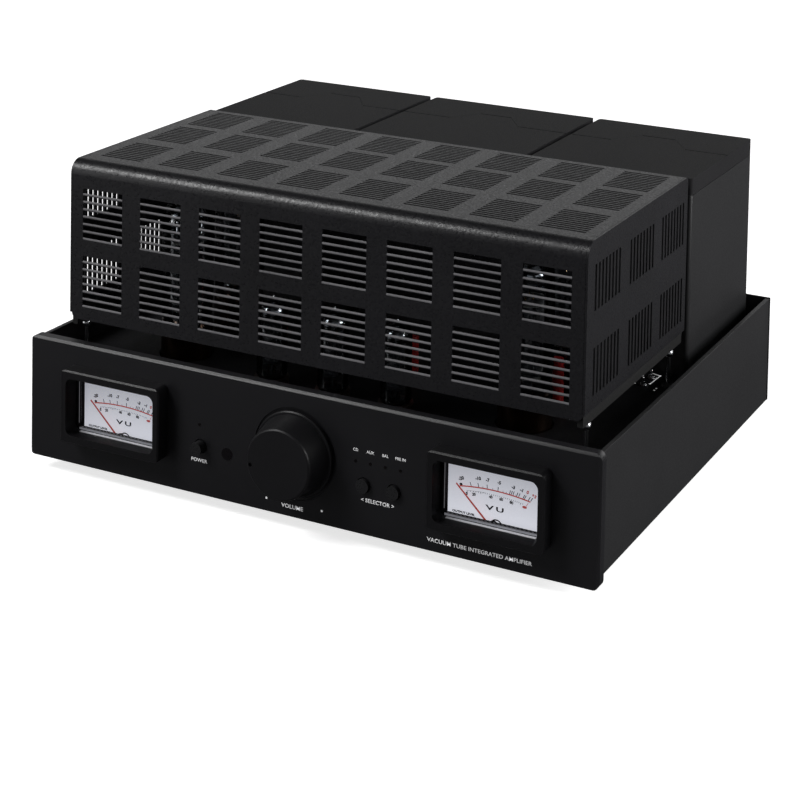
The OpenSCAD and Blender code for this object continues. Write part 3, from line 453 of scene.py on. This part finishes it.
# Meter scales
for side in ("left", "right"):
    box = DIAL[side]
    cx, y0 = centre(box).x, box[0].y
    ink = Print("scale_black_" + side, y0, cx)
    red = Print("scale_red_" + side, y0, cx)
    R, mid, top = 150.0, -3.5, 44.0
    cz = fz(top - R)

    def on(x, dr=0.0):
        a = math.asin((x - mid) / R)
        return mid + (R + dr) * math.sin(a), cz + (R + dr) * math.cos(a), math.degrees(a)

    red.arc(mid, cz, R, on(-27.2)[2], on(21.8)[2], 0.85)
    ink.disc(-26.2, fz(43.4), 1.1, 0.8)
    # upper marks and their numbers, leaning outwards the further out they are
    for x in (-19.1, -13.9, -7.9, -0.5, 7.5, 8.7, 9.9, 12.3, 13.7, 16.7, 17.7, 20.3, 21.9):
        bx, bz, _ = on(x)
        lean = (x - mid) / 42.0
        ink.line(bx, bz + 0.5, bx + lean * 2.3, bz + 2.9, 0.5)
    for x in (-10.9, -4.1, 2.9, 5.1, 11.3):
        bx, bz, _ = on(x)
        ink.line(bx, bz + 0.4, bx + (x - mid) / 42.0, bz + 1.3, 0.26)
    for x, z, label in ((-26.2, 47.1, "-20"), (-14.4, 49.4, "-10"), (-7.8, 49.7, "-7"), (0.3, 49.7, "-5"),
                        (10.0, 48.8, "-3"), (15.8, 48.1, "-1")):
        ink.text(label, x, fz(z), 2.1, angle=(x - mid) * 1.0, bold=0.16)
    for x, z, label in ((19.8, 47.6, "0"), (24.2, 46.1, "+3")):
        red.text(label, x, fz(z), 2.1, angle=x * 1.0, bold=0.14)
    # lower scale
    for i in range(27):
        x = -22.4 + 39.5 * (i / 26) ** 0.85
        bx, bz, _ = on(x, -2.6)
        long = 1.3 if i % 5 == 0 else 0.8
        ink.line(bx, bz, bx - (x - mid) / 42.0 * long, bz - long, 0.3)
    ink.arc(mid, cz, R - 2.6, on(-22.4)[2], on(-9)[2], 0.16)
    for x, z, label in ((-22.1, 38.1, "0"), (-17.1, 38.6, "20"), (-5.4, 39.3, "40"), (1.8, 39.3, "60"),
                        (8.9, 38.7, "80")):
        ink.text(label, x, fz(z), 1.8, angle=(x - mid) * 0.8, bold=0.14)
    red.disc(17.9, fz(37.7), 1.6, 0.85)
    red.line(18.9, fz(38.3), 20.3, fz(40.9), 0.34)
    ink.text("V", -6.0, fz(32.2), 3.0, stretch=2.1, bold=0.12)
    ink.text("U", 1.1, fz(32.2), 3.0, stretch=1.95, bold=0.12)
    ink.text("OUTPUT LEVEL", -32.0, fz(25.2), 1.4, align="LEFT", stretch=1.2, bold=0.1)
    # painted shade along the foot of the scale, and the needle's hidden boss
    ink.line(-31, fz(22.9), -5.6, fz(22.9), 0.9)
    ink.line(3.2, fz(22.9), 31, fz(22.9), 0.9)
    ink.arc(-1.2, fz(21.4), 4.0, -80, 80, 0.9, 16)
    ink.done("black_print_and_painted_shade")
    red.done("red_print_painted_glow")


# ---------------------------------------------------------------- small mesh pieces

def mesh_piece(name, bm, mat, body="chassis", smooth=True, bevel=0.0):
    bmesh.ops.recalc_face_normals(bm, faces=bm.faces)
    me = bpy.data.meshes.new(name)
    bm.to_mesh(me)
    bm.free()
    me.materials.append(M[mat])
    if smooth:
        me.polygons.foreach_set("use_smooth", [True] * len(me.polygons))
        me.update()
    ob = bpy.data.objects.new(name, me)
    bpy.context.scene.collection.objects.link(ob)
    if bevel:
        b = ob.modifiers.new("edge", "BEVEL")
        b.width = bevel * MM
        b.segments = 2
        b.limit_method = "ANGLE"
    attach(ob, body)
    return ob


def spin(bm, profile, at, steps=32, axis="Z"):
    """Adds a turned shape: profile is (radius, height) in mm about a point in metres."""
    rings = []
    for r, h in profile:
        ring = []
        for i in range(steps):
            a = 2 * math.pi * i / steps
            if axis == "Z":
                co = Vector((r * math.cos(a), r * math.sin(a), h))
            else:
                co = Vector((r * math.cos(a), h, r * math.sin(a)))
            ring.append(bm.verts.new(at + co * MM))
        rings.append(ring)
    for a, b in zip(rings, rings[1:]):
        for i in range(steps):
            j = (i + 1) % steps
            bm.faces.new((a[i], a[j], b[j], b[i]))
    for ring in (rings[0], rings[-1]):
        bm.faces.new(ring)


def slab(bm, lo, hi):
    """Adds a box between two corners in mm."""
    v = [bm.verts.new(Vector((x, y, z)) * MM) for x in (lo[0], hi[0]) for y in (lo[1], hi[1]) for z in (lo[2], hi[2])]
    for f in ((0, 1, 3, 2), (4, 6, 7, 5), (0, 4, 5, 1), (2, 3, 7, 6), (0, 2, 6, 4), (1, 5, 7, 3)):
        bm.faces.new([v[i] for i in f])


YFM = YF / MM
FZM = FZ / MM

# Clear strip along the bottom of each meter opening, light and glowing as a painted reflection of the scale, and the
# pane's edge as a painted highlight
M["lip"] = finish_mat("clear_strip_painted_light", (0.62, 0.62, 0.66), 0.25, grain=2600, bump=0.5, coat=0.6, vary=0.3,
                      stretch=(1, 0.05, 1), emit=0.12)
for side in ("left", "right"):
    b = BEZEL[side]
    cx = centre(b).x / MM
    zb = b[0].z / MM + 5.5
    bm = bmesh.new()
    slab(bm, (cx - 31, YFM - 2.4, zb + 0.02), (cx + 31, YFM - 0.1, zb + 0.35))
    slab(bm, (cx - 33, YFM + 0.4, zb + 0.5), (cx + 33, YFM + 0.8, zb + 2.0))
    for i in range(22):
        u = cx - 32 + 64 * (i + 0.3) / 22
        slab(bm, (u, YFM + 0.5, zb + 2.6), (u + 1.6, YFM + 0.7, zb + 2.9))
    mesh_piece("meter_strip_painted_reflection_" + side, bm, "lip", smooth=False, bevel=0.1)
    bm = bmesh.new()
    slab(bm, (cx - 33.2, YFM + 0.1, zb + 5), (cx - 32.9, YFM + 0.5, zb + 34.5))
    mesh_piece("meter_pane_edge_painted_highlight_" + side, bm, "lip", smooth=False, bevel=0.1)


def strip(bm, a, b, out, up, lift=0.28, drop=0.95, reach=1.35, proud=0.10):
    """Adds a rolled edge between two points in mm along a slot: out points off the sheet, up into the slot."""
    a, b, out, up = Vector(a), Vector(b), Vector(out), Vector(up)
    shape = [(proud * 0.2, -drop), (proud, -drop * 0.62), (proud, -0.2), (proud * 0.2, lift * 0.62), (-0.35, lift),
             (-0.85, lift * 0.75), (-reach, 0.02), (-reach, -0.2), (-0.2, -drop)]
    rings = [[bm.verts.new((q + out * o + up * u) * MM) for o, u in shape] for q in (a, b)]
    n = len(shape)
    for i in range(n):
        j = (i + 1) % n
        bm.faces.new((rings[0][i], rings[0][j], rings[1][j], rings[1][i]))
    bm.faces.new(rings[0])
    bm.faces.new(rings[1])


# Rolled lower edges of the vents in the cage, column by column
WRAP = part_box("cage_wrap")
CY0, CZ1 = WRAP[0].y / MM, WRAP[1].z / MM
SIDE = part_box("cage_side_right")
CX = SIDE[1].x / MM
COLUMN_PITCH, SLOT_HALF = 48.1, 16.5            # the slot pattern, in mm
FRONT_PITCH, TOP_PITCH, SIDE_PITCH = 5.27, 4.1, 5.8
FRONT_ROWS = (171.55, 123.4)                    # above the faceplate's bottom edge
TOP_ROWS = (61.5, 119, 171.5)                   # behind the faceplate's front
SIDE_COLS, SIDE_ROWS = (52.9, 113.6, 172.6), ((162.2, 191.8), (108, 138.7))
COLS = [(i - 3.5) * COLUMN_PITCH for i in range(8)]
M["vent_edge"] = finish_mat("powder_black_vent", (0.010, 0.0098, 0.011), 0.45, grain=620, bump=0.35, vary=0.25)
# The front vents' rolled edges take a far lighter copy of the black paint: painted highlight.
M["vent_edge_painted_highlight"] = finish_mat("powder_black_painted_highlight", (0.22, 0.216, 0.226), 0.32, grain=620, bump=0.35, vary=0.25)
bm = bmesh.new()
for cx in COLS:
    for row in FRONT_ROWS:
        for i in range(7):
            z = FZM + row + (i - 3) * FRONT_PITCH - 1.9
            strip(bm, (cx - SLOT_HALF, CY0, z), (cx + SLOT_HALF, CY0, z), (0, -1, 0), (0, 0, 1))
mesh_piece("vent_edges_front", bm, "vent_edge_painted_highlight", body="cage", smooth=False)
bm = bmesh.new()
for cx in COLS:
    for row in TOP_ROWS:
        for i in range(11):
            y = YFM + row + (i - 5) * TOP_PITCH + 1.2
            ends = [(cx + s * SLOT_HALF, y, CZ1) for s in (-1, 1)]
            strip(bm, *ends, (0, 0, 1), (0, -1, 0), 0.15, 0.7, 1.2, -0.03)
mesh_piece("vent_edges_top", bm, "vent_edge", body="cage", smooth=False)
for side, sx in (("left", -1), ("right", 1)):
    bm = bmesh.new()
    for col in SIDE_COLS:
        for rows in SIDE_ROWS:
            for i in range(8):
                y = YFM + col + (i - 3.5) * SIDE_PITCH + 1.5
                ends = [(sx * CX, y, FZM + z) for z in rows]
                strip(bm, *ends, (sx, 0, 0), (0, -1, 0), 0.15, 0.7, 1.2, 0.06)
    mesh_piece("vent_edges_" + side, bm, "vent_edge", body="cage", smooth=False)

# ---------------------------------------------------------------- inside the tubes

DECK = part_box("deck_plate")[1].z / MM
BIG = [(sx * 132, YFM + py) for sx in (-1, 1) for py in (72, 142)]
SMALL = [(sx, YFM + 50) for sx in (-48, 0, 48)]
M["rod"] = finish_mat("grid_rod", (0.75, 0.48, 0.25), 0.22, metal=1.0, grain=1500, bump=0.05)
# The heaters' glow is painted light.
M["heater"] = finish_mat("heater_painted_glow", (0.5, 0.2, 0.06), 0.4, grain=800, bump=0.05, emit=0.3)
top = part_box("power_tube_glass")[1].z / MM - DECK
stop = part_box("small_tube_glass")[1].z / MM - DECK


def shell(bm, outer, at, wall=0.25):
    """Adds a thin turned cap, open below, from its outer profile."""
    inner = [(max(0.05, r - wall), h - wall) for r, h in reversed(outer)]
    spin(bm, outer + inner, at)


def fin_plate(bm, x, y, z0, z1, w, d):
    """Adds pressed ribs and side wings to a tube's plate."""
    for i in range(5):
        u = x - w + 2 * w * (i + 0.5) / 5
        slab(bm, (u - 0.5, y - d - 0.7, z0), (u + 0.5, y + d + 0.7, z1))
    for sx in (-1, 1):
        slab(bm, (x + sx * (w + 1.9) - 1.9, y - 0.5, z0 + 3), (x + sx * (w + 1.9) + 1.9, y + 0.5, z1 - 3))


def rods(bm, x, y, z0, z1, spots, r=0.5):
    for dx, dy in spots:
        spin(bm, [(r, z0), (r, z1)], Vector((x + dx, y + dy, 0)) * MM, steps=8)


bm_g, bm_f, bm_r, bm_m, bm_h = (bmesh.new() for _ in range(5))
for x, y in BIG:
    at = Vector((x, y, DECK)) * MM
    shell(bm_g, [(16.0, top - 12.5), (15.6, top - 8.9), (12.4, top - 4.2), (7, top - 2.0), (0.3, top - 1.7)], at)
    fin_plate(bm_f, x, y, DECK + 37, DECK + 80, 10, 6.5)
    rods(bm_r, x, y, DECK + 31, DECK + 87, ((-4, 0), (4, 0), (0, -3), (0, 3)))
    rods(bm_r, x, y, DECK + 26, DECK + 34, ((-6, -2), (6, -2), (-3, 4), (3, 4), (0, -6)), 0.4)
    for z in (34.2, 82.2):
        spin(bm_m, [(15.6, z), (16.4, z + 0.15), (16.4, z + 0.55), (15.6, z + 0.7)], at, steps=28)
    for sx in (-1, 1):
        spin(bm_g, [(3.4, 90.5), (4.1, 90.9), (4.1, 91.5), (3.4, 91.9)], Vector((x + sx * 9, y, DECK)) * MM, steps=16)
    rods(bm_h, x, y, DECK + 29, DECK + 36, ((-1.2, 0), (1.2, 0)), 0.45)
for x, y in SMALL:
    at = Vector((x, y, DECK)) * MM
    shell(bm_g, [(9.2, stop - 14), (9.2, stop - 9.4), (7.8, stop - 6.8), (3.6, stop - 5.1), (0.3, stop - 5.0)], at)
    fin_plate(bm_f, x, y, DECK + 18, DECK + 43, 5, 3.5)
    rods(bm_r, x, y, DECK + 8, DECK + 47, ((-2.6, 0), (2.6, 0), (0, 2)), 0.35)
mesh_piece("tube_getters", bm_g, "silver")
mesh_piece("tube_plate_ribs", bm_f, "plate", smooth=False)
mesh_piece("tube_rods", bm_r, "rod")
mesh_piece("tube_micas", bm_m, "mica")
mesh_piece("tube_heaters", bm_h, "heater")

# Printed bracket and dots on the deck by the small switches
bm = bmesh.new()
corners = [(172.9, 180.8), (179.3, 179.9), (180.1, 198.3), (173.7, 199.8)]
for (x0, y0), (x1, y1) in zip(corners, corners[1:]):
    a, b = Vector((x0, YFM + y0, 0)), Vector((x1, YFM + y1, 0))
    d = (b - a).normalized() * 0.45
    n2 = Vector((-d.y, d.x, 0))
    outline = (a - d - n2, b + d - n2, b + d + n2, a - d + n2)
    lo = [bm.verts.new((q + Vector((0, 0, DECK + 0.02))) * MM) for q in outline]
    hi = [bm.verts.new(v.co + Vector((0, 0, 0.00003))) for v in lo]
    bm.faces.new(lo)
    bm.faces.new(hi)
    for i in range(4):
        bm.faces.new((lo[i], lo[(i + 1) % 4], hi[(i + 1) % 4], hi[i]))
for x, y in ((169.5, 176), (169.5, 192), (186, 170), (186, 174)):
    spin(bm, [(0.7, DECK + 0.02), (0.7, DECK + 0.05)], Vector((x, YFM + y, 0)) * MM, steps=14)
mesh_piece("deck_marks", bm, "white_print_painted_glow", smooth=False)

# ---------------------------------------------------------------- back of the case

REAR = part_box("rear_panel")[1].y
p = Print("rear_legends", REAR, face=1)
for label, x in (("PRE IN", -60), ("BAL", -38), ("AUX", -16), ("CD", 6), ("OUT", 28)):
    p.text(label, -x, FZM + 62, 2.4)
for z, label in ((52, "L"), (28, "R")):
    p.text(label, 70, FZM + z, 3.0)
for x, label in ((-150, "0"), (-122, "4"), (-94, "8"), (94, "0"), (122, "4"), (150, "8")):
    p.text(label, -x, FZM + 27, 2.6)
for x, label in ((-122, "SPEAKER R"), (122, "SPEAKER L")):
    p.text(label, -x, FZM + 56, 2.6)
    p.line(-x - 38, FZM + 53, -x + 38, FZM + 53, 0.3)
p.text("AC IN", 190, FZM + 54, 2.4)
p.line(70 - 4, FZM + 40, -34, FZM + 40, 0.25)
p.done("white_print_painted_glow")

M["ring_white"] = finish_mat("jack_ring_white", (0.7, 0.7, 0.68), 0.35, grain=900, bump=0.05)
M["ring_red"] = finish_mat("jack_ring_red", (0.45, 0.02, 0.02), 0.35, grain=900, bump=0.05)
RY = REAR / MM
for z, mat in ((52, "ring_white"), (28, "ring_red")):
    bm = bmesh.new()
    for x in (-60, -38, -16, 6, 28):
        prof = [(4.3, 1.5), (6.1, 1.5), (6.3, 1.7), (6.3, 2.4), (6.0, 2.7), (4.3, 2.7)]
        spin(bm, prof, Vector((x, RY, FZM + z)) * MM, axis="Y")
    mesh_piece("jack_rings_" + mat[5:], bm, mat)
for sx, mat in ((-1, "ring_red"), (1, "ring_white")):
    bm = bmesh.new()
    for x in (94, 122, 150):
        prof = [(7.6, 0.3), (8.4, 0.3), (8.6, 0.8), (8.6, 3.2), (8.3, 3.7), (7.6, 3.7)]
        spin(bm, prof, Vector((sx * x, RY, FZM + 40)) * MM, axis="Y")
    mesh_piece("post_collars_" + ("left" if sx < 0 else "right"), bm, mat)
# Black crosses on the rear screws stand in for their slots' recess: painted shade.
bm = bmesh.new()
for sx in (-1, 1):
    for z in (12, 55):
        for w, h in ((2.1, 0.35), (0.35, 2.1)):
            slab(bm, (sx * 202 - w, RY + 1.78, FZM + z - h), (sx * 202 + w, RY + 1.84, FZM + z + h))
mesh_piece("rear_screw_slots", bm, "black_print_and_painted_shade", smooth=False)

# ---------------------------------------------------------------- light, floor and camera

def area(name, loc, target, size, power, col=(1, 1, 1), size_y=None):
    li = bpy.data.lights.new(name, "AREA")
    li.energy = power
    li.color = col
    li.shape = "RECTANGLE"
    li.size = size
    li.size_y = size_y or size
    ob = bpy.data.objects.new(name, li)
    ob.location = loc
    ob.rotation_euler = (Vector(target) - Vector(loc)).to_track_quat("-Z", "Y").to_euler()
    bpy.context.scene.collection.objects.link(ob)
    return ob


def stage_floor():
    bm = bmesh.new()
    s = 6.0
    vs = [bm.verts.new((x, y, 0)) for x, y in ((-s, -s), (s, -s), (s, s), (-s, s))]
    bm.faces.new(vs)
    me = bpy.data.meshes.new("floor")
    bm.to_mesh(me)
    bm.free()
    m, n, l = new_mat("studio_floor")
    out = n.new("ShaderNodeOutputMaterial")
    d = n.new("ShaderNodeBsdfDiffuse")
    lp = n.new("ShaderNodeLightPath")
    cam_col = n.new("ShaderNodeMix")
    cam_col.data_type = "RGBA"
    l.new(lp.outputs["Is Camera Ray"], cam_col.inputs[0])
    cam_col.inputs[6].default_value = (0.16, 0.16, 0.165, 1)
    cam_col.inputs[7].default_value = (0.93, 0.93, 0.93, 1)
    l.new(cam_col.outputs[2], d.inputs["Color"])
    em = n.new("ShaderNodeEmission")
    em.inputs["Color"].default_value = (1, 1, 1, 1)
    glow = n.new("ShaderNodeMath")
    glow.operation = "MULTIPLY"
    l.new(lp.outputs["Is Camera Ray"], glow.inputs[0])
    glow.inputs[1].default_value = 0.74
    l.new(glow.outputs[0], em.inputs["Strength"])
    ad = n.new("ShaderNodeAddShader")
    l.new(d.outputs[0], ad.inputs[0])
    l.new(em.outputs[0], ad.inputs[1])
    l.new(ad.outputs[0], out.inputs[0])
    me.materials.append(m)
    ob = bpy.data.objects.new("floor", me)
    bpy.context.scene.collection.objects.link(ob)


stage_floor()

world = bpy.data.worlds.new("studio")
bpy.context.scene.world = world
world.use_nodes = True
wn, wl = world.node_tree.nodes, world.node_tree.links
wn.clear()
wo = wn.new("ShaderNodeOutputWorld")
lp = wn.new("ShaderNodeLightPath")
seen = wn.new("ShaderNodeBackground")
seen.inputs[0].default_value = (1, 1, 1, 1)
seen.inputs[1].default_value = 1.0
fill = wn.new("ShaderNodeBackground")
tc = wn.new("ShaderNodeTexCoord")
sp = wn.new("ShaderNodeSeparateXYZ")
wl.new(tc.outputs["Generated"], sp.inputs[0])
gr = wn.new("ShaderNodeMapRange")
gr.inputs["From Min"].default_value = -0.1
gr.inputs["From Max"].default_value = 1.0
gr.inputs["To Min"].default_value = 0.22
gr.inputs["To Max"].default_value = 0.04
wl.new(sp.outputs[2], gr.inputs["Value"])
wl.new(gr.outputs["Result"], fill.inputs[1])
fill.inputs[0].default_value = (0.97, 0.98, 1.0, 1)
mxw = wn.new("ShaderNodeMixShader")
wl.new(lp.outputs["Is Camera Ray"], mxw.inputs[0])
wl.new(fill.outputs[0], mxw.inputs[1])
wl.new(seen.outputs[0], mxw.inputs[2])
wl.new(mxw.outputs[0], wo.inputs[0])

area("back_low", (-0.9, 2.4, 1.0), (0, 0.05, 0.15), 2.4, 3.5, size_y=0.9)
area("left_key", (-1.3, -1.35, 1.8), (0, -0.1, 0.15), 0.9, 34, size_y=0.9)
area("right_side", (1.9, 0.3, 0.8), (0.1, 0.0, 0.1), 0.9, 27)
area("front_left", (-1.9, -1.8, 0.3), (0, -0.1, 0.1), 1.1, 7)
area("rear_fill", (0.5, 2.2, 0.35), (0, 0.1, 0.1), 1.2, 6)

# The photograph's verticals are parallel, so its camera looks nearly level with a strong shift
PHOTO_EYE = Vector((0.65448, -1.13011 - 0.175, 0.57723 + 0.010))
RIGHT = Vector((0.8893, 0.4560, 0.0183))
DOWN = Vector((0.0462, -0.0502, -0.9973))
AHEAD = RIGHT.cross(DOWN).normalized()
FOCAL_PIXELS = 2039.3
SHIFT_X, SHIFT_Y = (400 - 411.37) / 800, (-226.7 - 400) / 800

cam_data = bpy.data.cameras.new("photo_camera")
cam_data.sensor_width = 36
cam_data.lens = FOCAL_PIXELS * 36 / 800
cam_data.clip_start = 0.05
cam_data.clip_end = 50
cam = bpy.data.objects.new("photo_camera", cam_data)
bpy.context.scene.collection.objects.link(cam)
turn = Matrix((RIGHT, -DOWN, -AHEAD)).transposed()
cam.rotation_mode = "QUATERNION"
cam.rotation_quaternion = turn.to_quaternion()
cam.location = PHOTO_EYE
bpy.context.scene.camera = cam


def shift_here(path, value):
    """Lens shift that holds only while the camera stands at the photograph's place."""
    d = cam_data.driver_add(path).driver
    d.type = "SCRIPTED"
    v = d.variables.new()
    v.name = "x"
    v.type = "SINGLE_PROP"
    v.targets[0].id = cam
    v.targets[0].data_path = "location.x"
    d.expression = f"{value:.6f} if abs(x - {PHOTO_EYE.x:.6f}) < 0.0005 else 0.0"


shift_here("shift_x", SHIFT_X)
shift_here("shift_y", SHIFT_Y)
bpy.context.scene.view_settings.view_transform = "Standard"
